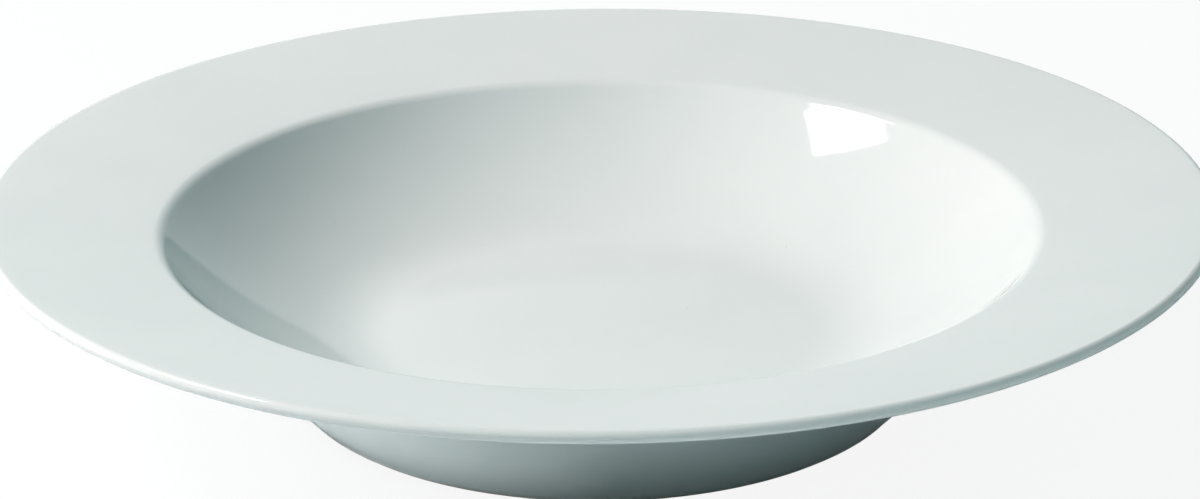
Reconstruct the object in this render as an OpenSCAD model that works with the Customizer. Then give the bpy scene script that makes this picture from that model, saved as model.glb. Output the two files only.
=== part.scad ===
// Deep rim plate of white glazed porcelain, on its foot ring.
// The plate stands on z = 0 and turns about the Z axis. Sizes are millimetres over the glaze.
// Every piece is one outline in the r, z half plane, turned about Z.

/* [Plate] */
// Diameter over the lip
plate_d = 240; // [225:1:270]
// Height from the table to the top of the lip
plate_h = 40.5; // [36:0.5:46]

/* [Rim] */
// Slope of the rim's upper face, in degrees
rim_slope = 11; // [7:0.5:13]
// Degrees by which the rim's underside is steeper, so that the rim thickens inwards
rim_taper = 3; // [1:0.5:4]
// Thickness of the rim at its round lip
lip_t = 2.4; // [2:0.1:3.6]
// Radius of the rounded edge where the rim turns down into the well
shoulder_r = 4; // [2:0.5:5]

/* [Well] */
// Diameter of the well, at the middle of the rounded edge
well_d = 172; // [166:1:180]
// Diameter of the flat floor, where the well starts to curve up
floor_d = 86; // [80:0.5:94]
// Slope where the tighter curve at the floor's edge eases into the wall, in degrees
ease_slope = 22; // [16:0.5:28]
// Radius of that tighter curve, as a share of the wall's radius
cove_share = 0.57; // [0.4:0.01:0.8]
// Thickness of the wall under the rounded edge
wall_t = 4.5; // [4:0.1:6]
// Thickness of the well's floor
floor_t = 6; // [5:0.1:7.5]
// Radius of the hollow under the plate where the wall meets the rim
hollow_r = 8; // [4:0.5:12]

/* [Foot] */
// Outer diameter of the face that the plate stands on
foot_d = 118.5; // [112:0.5:126]
// Width of that face
foot_w = 4; // [3:0.1:6]
// Height of the recess inside the foot ring
foot_h = 4.5; // [3.5:0.1:5.5]
// Lean of the foot ring's inner side from upright, in degrees
foot_lean = 25; // [10:1:35]
// Radius of the hollow where that side meets the base
recess_r = 2; // [0.5:0.1:2]

/* [Glaze] */
// Thickness of the glaze
glaze_t = 0.3; // [0.15:0.05:0.4]
// Height of the band above the standing face that is wiped bare
bare_h = 1; // [0.5:0.1:1]

/* [Hidden] */

glaze_color = "#EDF2F1";
body_color = "#F3F1EA";
bare_color = "#E4DED1";

// Steps of each arc in an outline, and of a turned piece
arc_steps = 12;
turn_sides = 180;

// Slope of the rounded edge where the well's diameter is measured, midway from the rim to the wall
edge_slope = 33;

// Point of a circle where its surface has the given slope: r > 0 on its upper side, r < 0 on its lower
function at(centre, r, slope) = centre + r * [-sin(slope), cos(slope)];

// Points of an arc between two slopes; skip leaves out that many points at its start
function arc(centre, r, from, to, skip = 0) =
    [for (i = [skip : arc_steps]) at(centre, r, from + (to - from) * i / arc_steps)];

function reversed(points) = [for (i = [len(points) - 1 : -1 : 0]) points[i]];

// Lip: one round edge, centred here
lip_r = lip_t / 2;
lip = [plate_d / 2 - lip_r, plate_h - lip_r];
lip_side = -90;
under_slope = rim_slope + rim_taper;
rim_top = at(lip, lip_r, rim_slope);
rim_under = at(lip, -lip_r, under_slope);

// Shoulder: the rounded edge, tangent to the rim's upper face
shoulder_x = well_d / 2 + shoulder_r * sin(edge_slope);
shoulder_top_z = rim_top[1] - (rim_top[0] - shoulder_x) * tan(rim_slope);
shoulder = [shoulder_x, shoulder_top_z - shoulder_r / cos(rim_slope)];

// Cove and wall: the well's two curves, tangent to the flat floor, to each other and to the shoulder.
// The wall's centre lies at the floor's edge plus its radius times wall_way, and that radius plus the
// shoulder's from the shoulder's centre, which gives the radius as the root of a quadratic.
floor_r = floor_d / 2;
floor_edge = [floor_r, foot_h + floor_t];
wall_way = [0, cove_share] + (1 - cove_share) * [-sin(ease_slope), cos(ease_slope)];
edge_way = floor_edge - shoulder;
square_part = 1 - wall_way * wall_way;
half_part = edge_way * wall_way - shoulder_r;
plain_part = edge_way * edge_way - shoulder_r ^ 2;
wall_r = (half_part + sqrt(half_part ^ 2 + square_part * plain_part)) / square_part;
wall = floor_edge + wall_r * wall_way;
cove_r = cove_share * wall_r;
cove = floor_edge + [0, cove_r];
wall_slope = atan2(shoulder[0] - wall[0], wall[1] - shoulder[1]);
wall_top = at(shoulder, shoulder_r, wall_slope);

// Side: the straight outside of the wall, from the standing face up to the wall's thickness under its top
foot_r = foot_d / 2;
wall_under = at(wall_top, glaze_t - wall_t, wall_slope);
side_slope = atan2(wall_under[1], wall_under[0] - foot_r);
function side_r(z, inset) = foot_r + (glaze_t - inset) / sin(side_slope) + z / tan(side_slope);

// Hollow: the curve between the side and the rim's underside, tangent to both
side_rise = tan(side_slope);
under_rise = tan(under_slope);
corner_x = (rim_under[1] - rim_under[0] * under_rise + side_r(0, 0) * side_rise) / (side_rise - under_rise);
corner = [corner_x, (corner_x - side_r(0, 0)) * side_rise];
hollow = at(corner, -hollow_r / cos((side_slope - under_slope) / 2), (side_slope + under_slope) / 2);

// Recess: the space inside the foot ring, with its own small hollow under the base
function inner_r(z, inset) = foot_r - foot_w - (glaze_t - inset) / cos(foot_lean) - z * tan(foot_lean);
recess_z = foot_h - recess_r;
recess = [inner_r(recess_z, 0) - recess_r / cos(foot_lean), recess_z];
recess_side = foot_lean - 90;

// Seams: the foot ring ends level with the base, the wall ends on a cut from the end of the cove to the
// foot ring's outer corner, and the floor ends upright where the cove begins
base_z = foot_h + glaze_t;
foot_corner = [side_r(base_z, glaze_t), base_z];

// Stretches of the plate's surface, each set into the plate by the inset
function curve_line(inset) = arc(cove, -cove_r - inset, 0, ease_slope);
function wall_line(inset, skip = 0) = concat(
    arc(wall, -wall_r - inset, ease_slope, wall_slope, skip),
    arc(shoulder, shoulder_r - inset, wall_slope, rim_slope, 1));
function lip_upper(inset) = arc(lip, lip_r - inset, rim_slope, lip_side);
function lip_lower(inset, skip = 0) = arc(lip, lip_r - inset, lip_side, under_slope - 180, skip);
function hollow_line(inset) = arc(hollow, hollow_r + inset, under_slope, side_slope);
function recess_line(inset) = arc(recess, recess_r + inset, 0, recess_side);

// The three glazed surfaces, each from its start at the axis or the lip to its end
function upper_surface(inset) = concat(
    [[0, floor_edge[1] - inset]], curve_line(inset), wall_line(inset, 1), lip_upper(inset));
function lower_surface(inset) = concat(
    lip_lower(inset), hollow_line(inset), [[side_r(bare_h, inset), bare_h]]);
function base_surface(inset) = concat(
    [[0, foot_h + inset]], recess_line(inset), [[inner_r(bare_h, inset), bare_h]]);

module turned(outline) {
    rotate_extrude($fn = turn_sides) polygon(outline);
}

// A coat of glaze between the finished surface and the porcelain under it
module coat(finished, porcelain) {
    color(glaze_color) turned(concat(finished, reversed(porcelain)));
}

// Sloping flange with the round lip, down to the shoulder's upper end
module rim() {
    color(body_color) turned(concat(
        [at(shoulder, shoulder_r - glaze_t, rim_slope)],
        lip_upper(glaze_t), lip_lower(glaze_t, 1),
        [at(hollow, hollow_r + glaze_t, under_slope)]));
}

// Ring from the shoulder down to the foot ring's outer corner, with the plate's outer side
module well_wall() {
    color(body_color) turned(concat(wall_line(glaze_t), hollow_line(glaze_t), [foot_corner]));
}

// Ring over the foot ring, where the well curves up from its floor towards its wall
module well_curve() {
    color(body_color) turned(concat(curve_line(glaze_t), [foot_corner, [floor_r, base_z]]));
}

// Flat disc in the middle of the well
module well_floor() {
    floor_top = floor_edge[1] - glaze_t;
    color(body_color) turned([[0, base_z], [floor_r, base_z], [floor_r, floor_top], [0, floor_top]]);
}

// Ring that the plate stands on, flat and bare underneath
module foot_ring() {
    color(bare_color) turned(concat(
        [[inner_r(0, glaze_t), 0], [foot_r, 0], foot_corner], recess_line(glaze_t)));
}

// Coat over the well, the shoulder and the rim, out to the lip's widest line
module upper_glaze() {
    coat(upper_surface(0), upper_surface(glaze_t));
}

// Coat from the lip's widest line under the rim and down the side, to the bare band
module lower_glaze() {
    coat(lower_surface(0), lower_surface(glaze_t));
}

// Coat over the base inside the foot ring, to the bare band
module base_glaze() {
    coat(base_surface(0), base_surface(glaze_t));
}

rim();
well_wall();
well_curve();
well_floor();
foot_ring();
upper_glaze();
lower_glaze();
base_glaze();
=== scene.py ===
"""Studio scene of a deep rim plate in white glazed porcelain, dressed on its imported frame.

The plate stands on z = 0 and is turned about the Z axis. Every length is in metres.
"""

import logging
import math
from collections.abc import Callable, Sequence
from dataclasses import dataclass, field
from enum import Enum

import bmesh
import bpy
from mathutils import Matrix, Vector, noise

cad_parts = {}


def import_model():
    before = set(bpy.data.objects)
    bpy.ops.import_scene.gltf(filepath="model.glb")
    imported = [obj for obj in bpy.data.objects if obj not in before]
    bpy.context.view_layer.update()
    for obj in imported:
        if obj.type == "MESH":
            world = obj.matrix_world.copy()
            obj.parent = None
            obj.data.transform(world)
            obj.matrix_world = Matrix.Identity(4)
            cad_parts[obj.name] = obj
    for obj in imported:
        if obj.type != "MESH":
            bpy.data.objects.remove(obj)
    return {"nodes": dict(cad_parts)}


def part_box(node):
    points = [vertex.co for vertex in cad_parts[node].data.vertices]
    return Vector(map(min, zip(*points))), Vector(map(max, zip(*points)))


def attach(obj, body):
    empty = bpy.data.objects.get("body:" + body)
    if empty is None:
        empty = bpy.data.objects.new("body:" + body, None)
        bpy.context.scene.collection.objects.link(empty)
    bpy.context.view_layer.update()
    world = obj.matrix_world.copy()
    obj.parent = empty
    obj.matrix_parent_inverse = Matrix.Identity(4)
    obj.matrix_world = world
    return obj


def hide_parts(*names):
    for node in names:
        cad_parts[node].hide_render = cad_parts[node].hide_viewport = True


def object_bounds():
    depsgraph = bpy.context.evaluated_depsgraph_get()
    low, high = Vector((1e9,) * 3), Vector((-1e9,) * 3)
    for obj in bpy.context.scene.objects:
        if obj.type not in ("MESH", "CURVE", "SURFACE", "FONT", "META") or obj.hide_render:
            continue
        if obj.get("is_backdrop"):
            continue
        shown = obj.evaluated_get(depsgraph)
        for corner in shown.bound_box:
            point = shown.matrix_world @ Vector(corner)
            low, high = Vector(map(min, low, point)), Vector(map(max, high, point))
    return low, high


LOG = logging.getLogger("plate")
MM = 0.001
TINY = 1e-7
BODY = "root"

Point = tuple[float, float]
Colour = tuple[float, float, float]
Shape = Callable[[Vector], Vector]

WHITE: Colour = (1.0, 1.0, 1.0)
WARM: Colour = (1.0, 0.83, 0.81)
COOL: Colour = (0.45, 1.0, 1.0)


class Facing(Enum):
    """Way that the normal of a stretch points, as the sign of an inset in its radius."""

    OUT_OF_PLATE = -1
    INTO_PLATE = 1


class Slot(Enum):
    """Material slots of the record."""

    PORCELAIN = "porcelain"
    BARE = "bare_porcelain"
    GLAZE = "glaze"


def at(centre: Point, radius: float, slope: float) -> Point:
    """Gives the point of a circle where its surface has a slope.

    Args:
        centre: Centre of the circle in the r, z half plane.
        radius: Radius, above zero on the circle's upper side and below zero on its lower side.
        slope: Slope of the surface in degrees.

    Returns:
        The point in the r, z half plane.
    """
    turn = math.radians(slope)
    return centre[0] - radius * math.sin(turn), centre[1] + radius * math.cos(turn)


def smooth_step(value: float, low: float, high: float) -> float:
    """Rises smoothly from 0 at low to 1 at high."""
    share = min(1.0, max(0.0, (value - low) / (high - low)))
    return share * share * (3 - 2 * share)


@dataclass(frozen=True)
class Arc:
    """Round stretch of the plate's outline, between two slopes of its surface.

    Attributes:
        centre: Centre in the r, z half plane.
        radius: Radius of the finished surface, below zero on the circle's lower side.
        start: Slope at the stretch's start, in degrees.
        end: Slope at its end, in degrees.
        facing: Whether the normal, which the radius is measured along, leaves the plate or enters it.
        steps: Steps that the stretch is drawn in.
    """

    centre: Point
    radius: float
    start: float
    end: float
    facing: Facing
    steps: int

    def point(self, inset: float, slope: float) -> Point:
        """Gives the point at a slope, set into the plate by the inset."""
        return at(self.centre, self.radius + self.facing.value * inset, slope)

    def points(self, inset: float) -> list[Point]:
        """Draws the stretch.

        Args:
            inset: Depth under the finished surface.

        Returns:
            The points from the start to the end.
        """
        span = self.end - self.start
        return [self.point(inset, self.start + span * i / self.steps) for i in range(self.steps + 1)]


def joined(stretches: Sequence[Sequence[Point]], spacing: float) -> list[Point]:
    """Joins stretches of an outline, and divides the straight runs between and inside them.

    Args:
        stretches: Stretches in order.
        spacing: Longest run allowed between two points.

    Returns:
        The joined outline without repeated points.
    """
    outline: list[Point] = []
    for point in (p for stretch in stretches for p in stretch):
        if not outline:
            outline.append(point)
            continue
        last = outline[-1]
        run = math.dist(last, point)
        if run < TINY:
            continue
        parts = math.ceil(run / spacing)
        across, up = point[0] - last[0], point[1] - last[1]
        for i in range(1, parts + 1):
            share = i / parts
            outline.append((last[0] + across * share, last[1] + up * share))
    return outline


def round_nose(outer: Point, inner: Point, steps: int) -> list[Point]:
    """Draws the half round that ends a coat, from its outer to its inner surface.

    Args:
        outer: Last point of the outer surface.
        inner: Last point of the inner surface.
        steps: Steps of the half round.

    Returns:
        The points between the two ends, both left out.
    """
    middle = ((outer[0] + inner[0]) / 2, (outer[1] + inner[1]) / 2)
    across = (outer[0] - middle[0], outer[1] - middle[1])
    along = (across[1], -across[0])
    if along[1] > 0:
        along = (-along[0], -along[1])
    nose = []
    for i in range(1, steps):
        turn = math.pi * i / steps
        nose.append((middle[0] + across[0] * math.cos(turn) + along[0] * math.sin(turn),
                     middle[1] + across[1] * math.cos(turn) + along[1] * math.sin(turn)))
    return nose


def rounded_corner(before: Point, corner: Point, after: Point, radius: float,
                   steps: int) -> list[Point]:
    """Rounds the corner between two straight runs.

    Args:
        before: A point on the run that comes in.
        corner: The sharp corner.
        after: A point on the run that goes out.
        radius: Radius of the rounding.
        steps: Steps of the rounding.

    Returns:
        The points of the rounding, in order.
    """
    here = Vector(corner)
    back = (Vector(before) - here).normalized()
    ahead = (Vector(after) - here).normalized()
    half = back.angle(ahead) / 2
    centre = here + (back + ahead).normalized() * (radius / math.sin(half))
    start = here + back * (radius / math.tan(half)) - centre
    end = here + ahead * (radius / math.tan(half)) - centre
    span = start.angle(end)
    points = []
    for i in range(steps + 1):
        share = i / steps
        blend = start * math.sin((1 - share) * span) + end * math.sin(share * span)
        points.append(tuple(centre + blend / math.sin(span)))
    return points


def turned(name: str, outline: Sequence[Point], sides: int, shape: Shape | None = None,
           fine_rows: int = 0) -> bpy.types.Object:
    """Turns a closed outline about the Z axis into a smooth closed mesh.

    Args:
        name: Name of the piece.
        outline: Points of the outline in the r, z half plane. Each point on the axis becomes one vertex.
        sides: Steps round the axis.
        shape: Moves a point of the finished surface to where the hand-made piece has it, or nothing.
        fine_rows: Number of points from the outline's start that lie on the finished surface.

    Returns:
        The new object, linked to the scene.
    """
    mesh = bmesh.new()
    rows: list[list[bmesh.types.BMVert]] = []
    for index, (radius, height) in enumerate(outline):
        count = 1 if radius < TINY else sides
        row = []
        for i in range(count):
            turn = math.tau * i / sides
            place = Vector((radius * math.cos(turn), radius * math.sin(turn), height))
            if shape and index < fine_rows:
                place = shape(place)
            row.append(mesh.verts.new(place))
        rows.append(row)
    for row, following in zip(rows, rows[1:] + rows[:1]):
        if len(row) == len(following) == 1:
            continue
        for i in range(sides):
            ahead = (i + 1) % sides
            ring = [row[i % len(row)], row[ahead % len(row)],
                    following[ahead % len(following)], following[i % len(following)]]
            corners = [v for k, v in enumerate(ring) if v not in ring[:k]]
            mesh.faces.new(corners).smooth = True
    bmesh.ops.recalc_face_normals(mesh, faces=mesh.faces)
    data = bpy.data.meshes.new(name)
    mesh.to_mesh(data)
    mesh.free()
    made = bpy.data.objects.new(name, data)
    bpy.context.scene.collection.objects.link(made)
    return made


class NodeSheet:
    """Small helper that lays out the nodes of a material or a world and links them."""

    def __init__(self, owner: bpy.types.Material | bpy.types.World, output: str) -> None:
        """Clears the owner's nodes.

        Args:
            owner: Material or world that the nodes belong to.
            output: Blender's type name of the owner's output node.
        """
        owner.use_nodes = True
        self.tree = owner.node_tree
        self.tree.nodes.clear()
        self.surface = self.add(output).inputs["Surface"]

    @classmethod
    def for_material(cls, name: str) -> tuple["NodeSheet", bpy.types.Material]:
        """Starts an empty material of that name, and gives its sheet and the material."""
        material = bpy.data.materials.new(name)
        return cls(material, "ShaderNodeOutputMaterial"), material

    @classmethod
    def for_world(cls, name: str) -> tuple["NodeSheet", bpy.types.World]:
        """Starts an empty world of that name, and gives its sheet and the world."""
        world = bpy.data.worlds.new(name)
        return cls(world, "ShaderNodeOutputWorld"), world

    def add(self, kind: str, **values: object) -> bpy.types.Node:
        """Adds a node.

        Args:
            kind: Blender's type name of the node.
            **values: Values of the node's own settings, or else of its input sockets.

        Returns:
            The new node.
        """
        node = self.tree.nodes.new(kind)
        for key, value in values.items():
            if hasattr(node, key):
                setattr(node, key, value)
            else:
                node.inputs[key.replace("_", " ")].default_value = value
        return node

    def link(self, source: bpy.types.NodeSocket, target: bpy.types.NodeSocket) -> None:
        """Links an output socket to an input socket."""
        self.tree.links.new(source, target)

    def place(self) -> bpy.types.NodeSocket:
        """Gives the socket with the place on the piece, in metres."""
        return self.add("ShaderNodeTexCoord").outputs["Object"]

    def ramp(self, source: bpy.types.NodeSocket,
             stops: Sequence[tuple[float, Colour]]) -> bpy.types.NodeSocket:
        """Maps a value to colours.

        Args:
            source: Socket with the value.
            stops: Pairs of a position from 0 to 1 and a colour.

        Returns:
            The socket with the colour.
        """
        node = self.add("ShaderNodeValToRGB")
        elements = node.color_ramp.elements
        while len(elements) < len(stops):
            elements.new(1.0)
        for element, (position, colour) in zip(elements, stops):
            element.position = position
            element.color = (*colour, 1.0)
        self.link(source, node.inputs["Fac"])
        return node.outputs["Color"]

    def seen_directly(self, in_picture: float, in_gloss: float) -> bpy.types.NodeSocket:
        """Gives a strength for rays that are looked along, and 0 for the rays that light the plate.

        Args:
            in_picture: Strength for camera rays.
            in_gloss: Strength for glossy and transmission rays.

        Returns:
            The socket with the strength.
        """
        path = self.add("ShaderNodeLightPath")
        seen = self.spread(path.outputs["Is Camera Ray"], 0.0, 1.0, 0.0, in_picture)
        for kind in ("Is Glossy Ray", "Is Transmission Ray"):
            either = self.add("ShaderNodeMath", operation="MAXIMUM")
            self.link(seen, either.inputs[0])
            self.link(self.spread(path.outputs[kind], 0.0, 1.0, 0.0, in_gloss), either.inputs[1])
            seen = either.outputs["Value"]
        return seen

    def spread(self, source: bpy.types.NodeSocket, low: float, high: float,
               to_low: float, to_high: float) -> bpy.types.NodeSocket:
        """Maps a value from one range to another.

        Args:
            source: Socket with the value.
            low: Start of the value's range.
            high: End of the value's range.
            to_low: What the start becomes.
            to_high: What the end becomes.

        Returns:
            The socket with the mapped value.
        """
        node = self.add("ShaderNodeMapRange", From_Min=low, From_Max=high,
                        To_Min=to_low, To_Max=to_high)
        self.link(source, node.inputs["Value"])
        return node.outputs["Result"]


@dataclass(frozen=True)
class GlazeFinish:
    """Clear glossy glaze over white porcelain, as colours and surface detail.

    Each stop is the level of the mottling at which a colour is reached, and gloss_low_at and gloss_high_at
    are the levels for the two ends of the roughness. The specks' size is a share of their spacing.
    """

    thin: Colour = (0.708, 0.768, 0.762)
    thin_stop: float = 0.65
    pooled: Colour = (0.688, 0.750, 0.745)
    pooled_stop: float = 0.35
    speck: Colour = (0.60, 0.61, 0.58)
    gloss_low: float = 0.035
    gloss_low_at: float = 0.7
    gloss_high: float = 0.06
    gloss_high_at: float = 0.3
    refraction: float = 1.5
    mottle_size: float = 34 * MM
    peel_size: float = 3.5 * MM
    peel_depth: float = 0.004 * MM
    speck_spacing: float = 11 * MM
    speck_size: float = 0.012

    def material(self) -> bpy.types.Material:
        """Builds the glaze's material.

        Returns:
            The material, with mottled colour, rare specks, uneven gloss and a faint orange peel.
        """
        sheet, material = NodeSheet.for_material("glaze")
        place = sheet.place()
        mottle = sheet.add("ShaderNodeTexNoise", Scale=1 / self.mottle_size, Detail=3.0, Roughness=0.5)
        sheet.link(place, mottle.inputs["Vector"])
        stops = [(self.pooled_stop, self.pooled), (self.thin_stop, self.thin)]
        tint = sheet.ramp(mottle.outputs["Fac"], stops)
        dots = sheet.add("ShaderNodeTexVoronoi", Scale=1 / self.speck_spacing, Randomness=1.0)
        sheet.link(place, dots.inputs["Vector"])
        speck_end = 2 * self.speck_size
        dot_mask = sheet.spread(dots.outputs["Distance"], self.speck_size, speck_end, 1.0, 0.0)
        colour = sheet.add("ShaderNodeMix", data_type="RGBA")
        sheet.link(dot_mask, colour.inputs["Factor"])
        sheet.link(tint, colour.inputs["A"])
        colour.inputs["B"].default_value = (*self.speck, 1.0)
        gloss = sheet.spread(mottle.outputs["Fac"], self.gloss_high_at, self.gloss_low_at,
                             self.gloss_high, self.gloss_low)
        peel = sheet.add("ShaderNodeTexNoise", Scale=1 / self.peel_size, Detail=1.0)
        sheet.link(place, peel.inputs["Vector"])
        bump = sheet.add("ShaderNodeBump", Strength=1.0, Distance=self.peel_depth)
        sheet.link(peel.outputs["Fac"], bump.inputs["Height"])
        shader = sheet.add("ShaderNodeBsdfPrincipled", IOR=self.refraction)
        sheet.link(colour.outputs["Result"], shader.inputs["Base Color"])
        sheet.link(gloss, shader.inputs["Roughness"])
        sheet.link(bump.outputs["Normal"], shader.inputs["Normal"])
        sheet.link(shader.outputs["BSDF"], sheet.surface)
        return material


@dataclass(frozen=True)
class BareFinish:
    """Fired porcelain without glaze: matt, grainy and ground on a wheel.

    Grain and rings are one relief, with the rings at ring_height of the grain's height. The wave texture
    of the rings has the given wave length at scale 1.
    """

    name: str
    clay: Colour
    worn: Colour
    clay_stop: float = 0.62
    worn_stop: float = 0.38
    blotch_size: float = 8.4 * MM
    roughness: float = 0.82
    grain_size: float = 0.35 * MM
    grain_depth: float = 0.02 * MM
    ring_pitch: float = 0.9 * math.tau * MM
    ring_height: float = 0.35
    wave_length: float = math.tau / 20

    def material(self) -> bpy.types.Material:
        """Builds the material.

        Returns:
            The material, with blotchy colour, grain and the rings that turning leaves.
        """
        sheet, material = NodeSheet.for_material(self.name)
        place = sheet.place()
        blotch = sheet.add("ShaderNodeTexNoise", Scale=1 / self.blotch_size, Detail=6.0, Roughness=0.65)
        sheet.link(place, blotch.inputs["Vector"])
        stops = [(self.worn_stop, self.worn), (self.clay_stop, self.clay)]
        colour = sheet.ramp(blotch.outputs["Fac"], stops)
        grain = sheet.add("ShaderNodeTexNoise", Scale=1 / self.grain_size, Detail=4.0, Roughness=0.7)
        sheet.link(place, grain.inputs["Vector"])
        rings = sheet.add("ShaderNodeTexWave", wave_type="RINGS", rings_direction="Z",
                          Scale=self.wave_length / self.ring_pitch, Distortion=0.6, Detail=2.0)
        sheet.link(place, rings.inputs["Vector"])
        relief = sheet.add("ShaderNodeMath", operation="ADD")
        sheet.link(grain.outputs["Fac"], relief.inputs[0])
        sheet.link(sheet.spread(rings.outputs["Fac"], 0.0, 1.0, 0.0, self.ring_height), relief.inputs[1])
        bump = sheet.add("ShaderNodeBump", Strength=1.0, Distance=self.grain_depth)
        sheet.link(relief.outputs["Value"], bump.inputs["Height"])
        shader = sheet.add("ShaderNodeBsdfPrincipled", Roughness=self.roughness)
        sheet.link(colour, shader.inputs["Base Color"])
        sheet.link(bump.outputs["Normal"], shader.inputs["Normal"])
        sheet.link(shader.outputs["BSDF"], sheet.surface)
        return material


@dataclass
class PlateOutline:
    """Outline of the plate over the glaze, in the r, z half plane.

    The plate's reach, its floor and its base come from the frame, and the other sizes are the maker's.
    """

    plate_r: float
    plate_h: float
    floor_r: float
    floor_z: float
    base_z: float
    rim_slope: float = 11.0
    rim_taper: float = 3.0
    lip_t: float = 2.4 * MM
    shoulder_r: float = 4 * MM
    edge_slope: float = 33.0
    well_r: float = 86 * MM
    ease_slope: float = 22.0
    cove_share: float = 0.57
    wall_t: float = 4.5 * MM
    hollow_r: float = 8 * MM
    foot_r: float = 59.25 * MM
    foot_w: float = 4 * MM
    foot_lean: float = 25.0
    recess_r: float = 2 * MM
    glaze_t: float = 0.3 * MM
    bare_h: float = 1 * MM
    lip_side: float = -90.0
    lip_upper_steps: int = 14
    lip_lower_steps: int = 12
    shoulder_steps: int = 18
    cove_steps: int = 16
    wall_steps: int = 26
    hollow_steps: int = 16
    recess_steps: int = 10
    side_slope: float = field(init=False)
    lip_upper: Arc = field(init=False)
    lip_lower: Arc = field(init=False)
    shoulder: Arc = field(init=False)
    cove: Arc = field(init=False)
    wall: Arc = field(init=False)
    hollow: Arc = field(init=False)
    recess: Arc = field(init=False)

    @classmethod
    def from_frame(cls, low: Vector, high: Vector) -> "PlateOutline":
        """Takes the plate's reach, floor and base from the frame.

        Args:
            low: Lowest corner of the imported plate.
            high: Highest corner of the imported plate.

        Returns:
            The outline.
        """
        floor_low, floor_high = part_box("well_floor")
        return cls(plate_r=(high.x - low.x) / 2, plate_h=high.z, floor_r=floor_high.x,
                   floor_z=floor_high.z + cls.glaze_t, base_z=floor_low.z - cls.glaze_t)

    def __post_init__(self) -> None:
        """Works out the round stretches from the sizes."""
        lip_r = self.lip_t / 2
        under_slope = self.rim_slope + self.rim_taper
        lip = (self.plate_r - lip_r, self.plate_h - lip_r)
        out, into = Facing.OUT_OF_PLATE, Facing.INTO_PLATE
        lip_end = under_slope - 180.0
        self.lip_upper = Arc(lip, lip_r, self.rim_slope, self.lip_side, out, self.lip_upper_steps)
        self.lip_lower = Arc(lip, lip_r, self.lip_side, lip_end, out, self.lip_lower_steps)
        rim_top = at(lip, lip_r, self.rim_slope)
        rim_under = at(lip, -lip_r, under_slope)
        shoulder_x = self.well_r + self.shoulder_r * math.sin(math.radians(self.edge_slope))
        rim_rise = math.tan(math.radians(self.rim_slope))
        shoulder_top = rim_top[1] - (rim_top[0] - shoulder_x) * rim_rise
        centre = (shoulder_x, shoulder_top - self.shoulder_r / math.cos(math.radians(self.rim_slope)))
        wall_centre, wall_r = self.wall_circle(centre)
        wall_slope = math.degrees(math.atan2(centre[0] - wall_centre[0], wall_centre[1] - centre[1]))
        cove_r = self.cove_share * wall_r
        cove_centre = (self.floor_r, self.floor_z + cove_r)
        self.cove = Arc(cove_centre, -cove_r, 0.0, self.ease_slope, out, self.cove_steps)
        self.wall = Arc(wall_centre, -wall_r, self.ease_slope, wall_slope, out, self.wall_steps)
        self.shoulder = Arc(centre, self.shoulder_r, wall_slope, self.rim_slope, out,
                            self.shoulder_steps)
        wall_top = at(centre, self.shoulder_r, wall_slope)
        wall_under = at(wall_top, self.glaze_t - self.wall_t, wall_slope)
        self.side_slope = math.degrees(math.atan2(wall_under[1], wall_under[0] - self.foot_r))
        side_rise = math.tan(math.radians(self.side_slope))
        under_rise = math.tan(math.radians(under_slope))
        side_foot = self.side_r(0.0, 0.0)
        drop = rim_under[1] - rim_under[0] * under_rise + side_foot * side_rise
        corner_x = drop / (side_rise - under_rise)
        corner = (corner_x, (corner_x - side_foot) * side_rise)
        half_turn = math.radians((self.side_slope - under_slope) / 2)
        middle_slope = (self.side_slope + under_slope) / 2
        hollow_centre = at(corner, -self.hollow_r / math.cos(half_turn), middle_slope)
        self.hollow = Arc(hollow_centre, self.hollow_r, under_slope, self.side_slope, into,
                          self.hollow_steps)
        recess_z = self.base_z - self.recess_r
        recess_x = self.inner_r(recess_z, 0.0) - self.recess_r / math.cos(math.radians(self.foot_lean))
        recess_end = self.foot_lean - 90.0
        self.recess = Arc((recess_x, recess_z), self.recess_r, 0.0, recess_end, into, self.recess_steps)

    def wall_circle(self, shoulder: Point) -> tuple[Point, float]:
        """Finds the circle of the well's wall, tangent to the cove and to the shoulder.

        Args:
            shoulder: Centre of the shoulder.

        Returns:
            The circle's centre and radius.
        """
        ease = math.radians(self.ease_slope)
        rest = 1 - self.cove_share
        way = (-rest * math.sin(ease), self.cove_share + rest * math.cos(ease))
        edge = (self.floor_r - shoulder[0], self.floor_z - shoulder[1])
        square_part = 1 - way[0] ** 2 - way[1] ** 2
        half_part = edge[0] * way[0] + edge[1] * way[1] - self.shoulder_r
        plain_part = edge[0] ** 2 + edge[1] ** 2 - self.shoulder_r ** 2
        radius = (half_part + math.sqrt(half_part ** 2 + square_part * plain_part)) / square_part
        return (self.floor_r + radius * way[0], self.floor_z + radius * way[1]), radius

    def side_r(self, height: float, inset: float) -> float:
        """Gives the radius of the plate's outer side at a height."""
        turn = math.radians(self.side_slope)
        return self.foot_r + (self.glaze_t - inset) / math.sin(turn) + height / math.tan(turn)

    def inner_r(self, height: float, inset: float) -> float:
        """Gives the radius of the foot ring's inner side at a height.

        Args:
            height: Height over the table.
            inset: Depth under the finished surface.

        Returns:
            The radius.
        """
        turn = math.radians(self.foot_lean)
        standing = self.foot_r - self.foot_w
        return standing - (self.glaze_t - inset) / math.cos(turn) - height * math.tan(turn)

    def upper(self, inset: float, spacing: float) -> list[Point]:
        """Draws the upper surface from the axis to the lip's widest line.

        Args:
            inset: Depth under the finished surface.
            spacing: Longest run allowed between two points.

        Returns:
            The points in order.
        """
        axis = [(0.0, self.floor_z - inset)]
        arcs = (self.cove, self.wall, self.shoulder, self.lip_upper)
        return joined([axis, *(arc.points(inset) for arc in arcs)], spacing)

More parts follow.
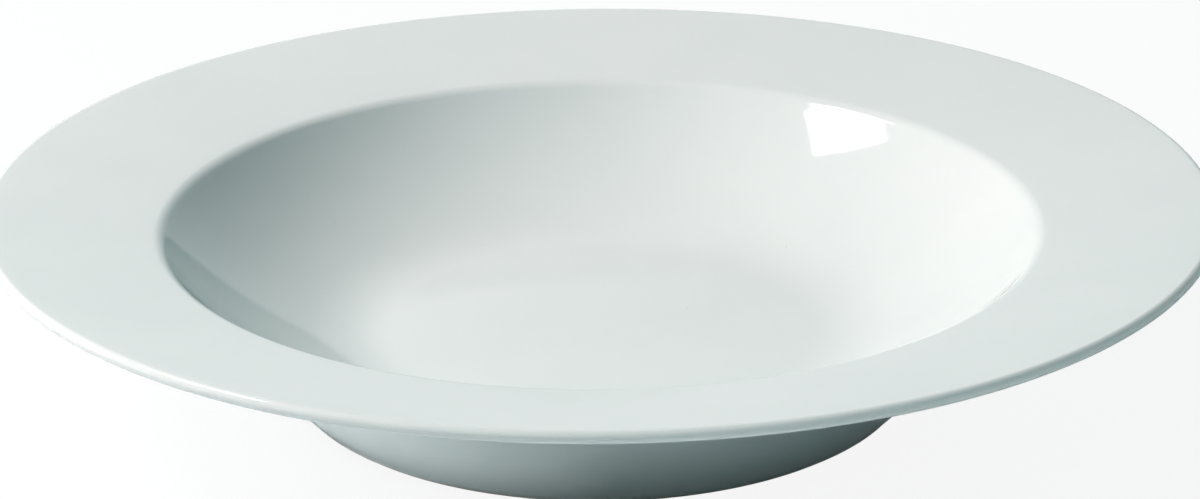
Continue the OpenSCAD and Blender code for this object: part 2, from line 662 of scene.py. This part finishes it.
    def lower(self, inset: float, spacing: float) -> list[Point]:
        """Draws the lower surface from the lip's widest line to the bare band."""
        end = [(self.side_r(self.bare_h, inset), self.bare_h)]
        return joined([self.lip_lower.points(inset), self.hollow.points(inset), end], spacing)

    def base(self, inset: float, spacing: float) -> list[Point]:
        """Draws the surface inside the foot ring from the axis to the bare band.

        Args:
            inset: Depth under the finished surface.
            spacing: Longest run allowed between two points.

        Returns:
            The points in order.
        """
        axis = [(0.0, self.base_z + inset)]
        end = [(self.inner_r(self.bare_h, inset), self.bare_h)]
        return joined([axis, self.recess.points(inset), end], spacing)


@dataclass
class GlazeCoats:
    """The three coats of glaze, each a closed shell of its own thickness.

    The rim's warp is part oval and part three-cornered, each with its phase in radians. The wiped edge at
    the foot wanders by a coarse and a fine noise, each read along a circle of the given radius.
    """

    outline: PlateOutline
    sides: int = 360
    fine_spacing: float = 1.8 * MM
    plain_spacing: float = 6 * MM
    nose_steps: int = 8
    warp: float = 0.05 * MM
    oval: float = 0.6
    oval_phase: float = 0.7
    three_corner: float = 0.4
    three_corner_phase: float = 2.1
    wave: float = 0.012 * MM
    wave_size: float = 13 * MM
    edge_wander: float = 0.14 * MM
    edge_reach: float = 1.6 * MM
    coarse_circle: float = 5.0
    fine_circle: float = 15.0
    fine_share: float = 0.5

    def uneven(self, place: Vector) -> Vector:
        """Moves a point of the finished surface as hand dipping and the kiln leave it.

        Args:
            place: Point on the even surface.

        Returns:
            The point, lowered a little by the rim's warp and the glaze's waves.
        """
        turn = math.atan2(place.y, place.x)
        reach = smooth_step(math.hypot(place.x, place.y), self.outline.floor_r, self.outline.plate_r)
        lobes = self.oval * math.cos(2 * turn + self.oval_phase)
        lobes += self.three_corner * math.cos(3 * turn + self.three_corner_phase)
        sag = self.warp * reach * (1 + lobes) / 2
        ripple = self.wave * (noise.noise(place / self.wave_size) - 1)
        return place + Vector((0.0, 0.0, ripple - sag))

    def wandering(self, place: Vector) -> Vector:
        """Moves a point near the bare band, where the wiped edge of the glaze wanders.

        Args:
            place: Point on the even surface.

        Returns:
            The point, moved up or down the side.
        """
        near = 1 - smooth_step(place.z, self.outline.bare_h, self.outline.bare_h + self.edge_reach)
        turn = math.atan2(place.y, place.x)
        ring = Vector((math.cos(turn), math.sin(turn), 0.0))
        coarse = noise.noise(ring * self.coarse_circle)
        fine = self.fine_share * noise.noise(ring * self.fine_circle)
        rise = self.edge_wander * near * (1 + coarse + fine)
        away = 1 / math.tan(math.radians(self.outline.side_slope))
        outward = Vector((place.x, place.y, 0.0)).normalized() * rise * away
        return place + outward + Vector((0.0, 0.0, rise))

    def shell(self, name: str, draw: Callable[[float, float], list[Point]], rounded: bool,
              shape: Shape | None) -> bpy.types.Object:
        """Builds one coat.

        Args:
            name: Name of the piece.
            draw: Draws the coat's surface for an inset and a spacing.
            rounded: Whether the coat ends in a half round, as it does at the bare band.
            shape: Moves the finished surface's points, or nothing.

        Returns:
            The coat.
        """
        outer = draw(0.0, self.fine_spacing)
        inner = draw(self.outline.glaze_t, self.plain_spacing)
        nose = round_nose(outer[-1], inner[-1], self.nose_steps) if rounded else []
        fine = outer + nose
        return turned(name, fine + inner[::-1], self.sides, shape, len(fine))

    def build(self) -> list[tuple[bpy.types.Object, str]]:
        """Builds the coats.

        Returns:
            Each coat with the node that it stands for.
        """
        upper = self.shell("glaze_over_well_and_rim", self.outline.upper, False, self.uneven)
        lower = self.shell("glaze_under_rim_and_side", self.outline.lower, True, self.wandering)
        base = self.shell("glaze_inside_foot", self.outline.base, True, None)
        return [(upper, "upper_glaze"), (lower, "lower_glaze"), (base, "base_glaze")]

    def dress(self, finish: bpy.types.Material) -> None:
        """Builds the coats, gives them the glaze and sets them on the frame.

        Args:
            finish: Material of the glaze.
        """
        for coat, node in self.build():
            coat.data.materials.append(finish)
            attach(coat, BODY)
            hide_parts(node)
            LOG.info("%s stands for %s, %d faces", coat.name, node, len(coat.data.polygons))


@dataclass
class FootRing:
    """The bare ring that the plate stands on, with its edges rubbed round."""

    outline: PlateOutline
    sides: int = 360
    edge_r: float = 0.5 * MM
    edge_steps: int = 6
    spacing: float = 0.8 * MM

    def build(self) -> bpy.types.Object:
        """Builds the ring from the standing face up to the base.

        Returns:
            The ring.
        """
        line = self.outline
        under = line.glaze_t
        top = line.base_z + under
        inner_foot = (line.inner_r(0.0, under), 0.0)
        outer_foot = (line.foot_r, 0.0)
        outer_top = (line.side_r(top, under), top)
        hollow = line.recess.points(under)
        inner_edge = rounded_corner(hollow[-1], inner_foot, outer_foot, self.edge_r, self.edge_steps)
        outer_edge = rounded_corner(inner_foot, outer_foot, outer_top, self.edge_r, self.edge_steps)
        ring = joined([inner_edge, outer_edge, [outer_top], hollow], self.spacing)
        return turned("bare_foot_ring", ring, self.sides)

    def dress(self, finish: bpy.types.Material) -> None:
        """Builds the ring, gives it the bare finish and sets it on the frame.

        Args:
            finish: Material of the bare porcelain.
        """
        ring = self.build()
        ring.data.materials.append(finish)
        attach(ring, BODY)
        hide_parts("foot_ring")
        LOG.info("%s stands for foot_ring, %d faces", ring.name, len(ring.data.polygons))


@dataclass
class PorcelainCore:
    """The porcelain under the glaze, which keeps the frame's own solids."""

    nodes: tuple[str, ...] = ("rim", "well_wall", "well_curve", "well_floor")

    def dress(self, solids: dict[str, bpy.types.Object], finish: bpy.types.Material) -> None:
        """Gives the porcelain solids their material.

        Args:
            solids: The frame's nodes by name.
            finish: Material of the porcelain.
        """
        for name in self.nodes:
            solid = solids[name]
            solid.data.materials.clear()
            solid.data.materials.append(finish)
            LOG.info("%s keeps the frame's solid", name)


@dataclass(frozen=True)
class SoftLamp:
    """A rectangular soft box that faces the plate.

    Attributes:
        name: Name of the lamp.
        azimuth: Direction from the plate in degrees, 0 towards the camera and 90 to its right.
        elevation: Height over the table in degrees.
        distance: Distance from the middle of the plate.
        width: Width of the box.
        height: Height of the box.
        power: Power in watts.
        tilt: Turn of the box about its own axis, in degrees.
        tip: Turn of the box upwards from the plate's middle, in degrees.
        beam: Spread of the light in degrees, less than 180 behind a grid.
        colour: Tint of the light.
        in_gloss: Whether the glaze shows the box as a highlight.
    """

    name: str
    azimuth: float
    elevation: float
    distance: float
    width: float
    height: float
    power: float
    tilt: float = 0.0
    tip: float = 0.0
    beam: float = 180.0
    colour: Colour = WHITE
    in_gloss: bool = False

    def build(self, aim: Vector) -> None:
        """Builds the lamp.

        Args:
            aim: Point that the lamp faces.
        """
        light = bpy.data.lights.new(self.name, "AREA")
        light.shape = "RECTANGLE"
        light.size = self.width
        light.size_y = self.height
        light.energy = self.power
        light.color = self.colour
        light.spread = math.radians(self.beam)
        side = math.radians(self.azimuth)
        lift = math.radians(self.elevation)
        level = math.cos(lift)
        away = Vector((math.sin(side) * level, -math.cos(side) * level, math.sin(lift)))
        lamp = bpy.data.objects.new(self.name, light)
        facing = (-away).to_track_quat("-Z", "Y").to_matrix().to_4x4()
        turn = Matrix.Rotation(math.radians(self.tilt), 4, "Z")
        rise = Matrix.Rotation(math.radians(self.tip), 4, "X")
        lamp.matrix_world = Matrix.Translation(aim + away * self.distance) @ facing @ turn @ rise
        lamp.visible_camera = False
        lamp.visible_glossy = self.in_gloss
        bpy.context.scene.collection.objects.link(lamp)
        LOG.info("%s lit", self.name)


@dataclass
class Studio:
    """Floor, backdrop, lamps and camera.

    Attributes:
        floor_r: Radius of the floor.
        floor_hole_r: Radius of its opening, which the foot covers.
        floor_sides: Steps round the floor.
        floor_colour: Colour that the floor throws back on the plate.
        floor_white: Share of plain white in the floor as the camera sees it.
        floor_gloss: The same share as the glaze mirrors it.
        backdrop_colour: Colour of the surroundings to the camera and in the glaze.
        ambient: Faint light of the surroundings on the plate.
        target: Point that the lamps face, and that the camera's place is measured from.
        distance: Distance of the camera.
        elevation: Height of the camera over the table, in degrees.
        raise_aim: Turn of the camera upwards from the target, in degrees.
        roll: Turn of the camera about its own axis, in degrees.
        lens: Focal length in millimetres.
        near: Nearest distance that the camera sees.
        far: Farthest distance that it sees.
        lamps: The lamps.
    """

    floor_r: float = 4.0
    floor_hole_r: float = 58.7 * MM
    floor_sides: int = 180
    floor_colour: Colour = (0.77, 0.84, 0.85)
    floor_white: float = 0.9
    floor_gloss: float = 0.03
    backdrop_colour: Colour = (0.78, 0.80, 0.80)
    ambient: Colour = (0.02, 0.025, 0.025)
    target: tuple[float, float, float] = (0.0, 0.0, 0.020)
    distance: float = 0.720
    elevation: float = 21.39
    raise_aim: float = 0.546
    roll: float = -0.42
    lens: float = 108.96
    near: float = 0.05
    far: float = 30.0
    lamps: tuple[SoftLamp, ...] = (
        SoftLamp("key_box", -100.8, 50.5, 1.0, 0.272, 0.24, 3.8, tilt=-9.0, in_gloss=True),
        SoftLamp("side_box", -84.0, 39.0, 1.0, 0.55, 0.45, 10.3, colour=WARM),
        SoftLamp("front_box", 0.0, 50.0, 1.5, 0.8, 0.8, 3.2, colour=COOL),
        SoftLamp("back_box", 180.0, 14.0, 1.5, 0.8, 0.8, 7.1, colour=COOL),
        SoftLamp("low_card", -88.0, -1.5, 0.5, 0.5, 0.012, 0.0235, tip=-0.9, beam=4.0),
        SoftLamp("lip_card", 62.0, -1.5, 0.45, 0.5, 0.006, 0.005, tip=3.3, beam=4.0),
        SoftLamp("base_box", 0.0, -90.0, 0.6, 0.3, 0.3, 2.0),
    )

    def floor(self) -> None:
        """Builds the pale floor, which whitens to the eye and still takes the plate's shadow.

        It is clear from below and open inside the foot, so that the underside can be looked at.
        """
        count = self.floor_sides
        turns = [math.tau * step / count for step in range(count)]
        edges = (self.floor_hole_r, self.floor_r)
        corners = [(r * math.cos(turn), r * math.sin(turn), 0.0) for r in edges for turn in turns]
        following = [(step + 1) % count for step in range(count)]
        faces = [(step, count + step, count + after, after) for step, after in enumerate(following)]
        data = bpy.data.meshes.new("floor")
        data.from_pydata(corners, [], faces)
        ground = bpy.data.objects.new("floor", data)
        bpy.context.scene.collection.objects.link(ground)
        sheet, material = NodeSheet.for_material("floor")
        matt = sheet.add("ShaderNodeBsdfDiffuse", Color=(*self.floor_colour, 1.0))
        white = sheet.add("ShaderNodeEmission", Strength=1.0)
        upper = sheet.add("ShaderNodeMixShader")
        sheet.link(sheet.seen_directly(self.floor_white, self.floor_gloss), upper.inputs["Fac"])
        sheet.link(matt.outputs["BSDF"], upper.inputs[1])
        sheet.link(white.outputs["Emission"], upper.inputs[2])
        clear = sheet.add("ShaderNodeBsdfTransparent")
        side = sheet.add("ShaderNodeNewGeometry")
        both = sheet.add("ShaderNodeMixShader")
        sheet.link(side.outputs["Backfacing"], both.inputs["Fac"])
        sheet.link(upper.outputs["Shader"], both.inputs[1])
        sheet.link(clear.outputs["BSDF"], both.inputs[2])
        sheet.link(both.outputs["Shader"], sheet.surface)
        data.materials.append(material)
        ground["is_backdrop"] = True
        LOG.info("floor laid")

    def backdrop(self) -> None:
        """Makes the world pale to the eye and in reflections, and a faint soft light on the plate."""
        sheet, world = NodeSheet.for_world("backdrop")
        soft = sheet.add("ShaderNodeBackground", Color=(*self.ambient, 1.0))
        pale = sheet.add("ShaderNodeBackground", Color=(*self.backdrop_colour, 1.0))
        either = sheet.add("ShaderNodeMixShader")
        sheet.link(sheet.seen_directly(1.0, 1.0), either.inputs["Fac"])
        sheet.link(soft.outputs["Background"], either.inputs[1])
        sheet.link(pale.outputs["Background"], either.inputs[2])
        sheet.link(either.outputs["Shader"], sheet.surface)
        bpy.context.scene.world = world
        LOG.info("backdrop hung")

    def camera(self) -> None:
        """Sets the camera at the photograph's angle."""
        lift = math.radians(self.elevation)
        back = Vector((0.0, -math.cos(lift), math.sin(lift)))
        place = Vector(self.target) + back * self.distance
        right = Vector((1.0, 0.0, 0.0))
        up = back.cross(right)
        turn = Matrix((right, up, back)).transposed().to_4x4()
        turn = turn @ Matrix.Rotation(math.radians(self.raise_aim), 4, "X")
        turn = turn @ Matrix.Rotation(math.radians(self.roll), 4, "Z")
        data = bpy.data.cameras.new("camera")
        data.lens = self.lens
        data.clip_start = self.near
        data.clip_end = self.far
        eye = bpy.data.objects.new("camera", data)
        eye.matrix_world = Matrix.Translation(place) @ turn
        bpy.context.scene.collection.objects.link(eye)
        bpy.context.scene.camera = eye
        LOG.info("camera placed")

    def build(self) -> None:
        """Builds the whole studio."""
        bpy.context.scene.view_settings.view_transform = "Standard"
        self.floor()
        self.backdrop()
        for lamp in self.lamps:
            lamp.build(Vector(self.target))
        self.camera()


def main() -> None:
    """Loads the frame, dresses the plate on it and builds the studio round it."""
    logging.basicConfig(level=logging.INFO, format="%(name)s: %(message)s")
    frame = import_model()
    cad_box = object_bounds()
    outline = PlateOutline.from_frame(*cad_box)
    bare = BareFinish("bare_porcelain", clay=(0.74, 0.70, 0.62), worn=(0.62, 0.57, 0.49))
    core = BareFinish("porcelain", clay=(0.86, 0.85, 0.80), worn=(0.80, 0.79, 0.73))
    PorcelainCore().dress(frame["nodes"], core.material())
    GlazeCoats(outline).dress(GlazeFinish().material())
    FootRing(outline).dress(bare.material())
    Studio().build()


if __name__ == "__main__":
    main()
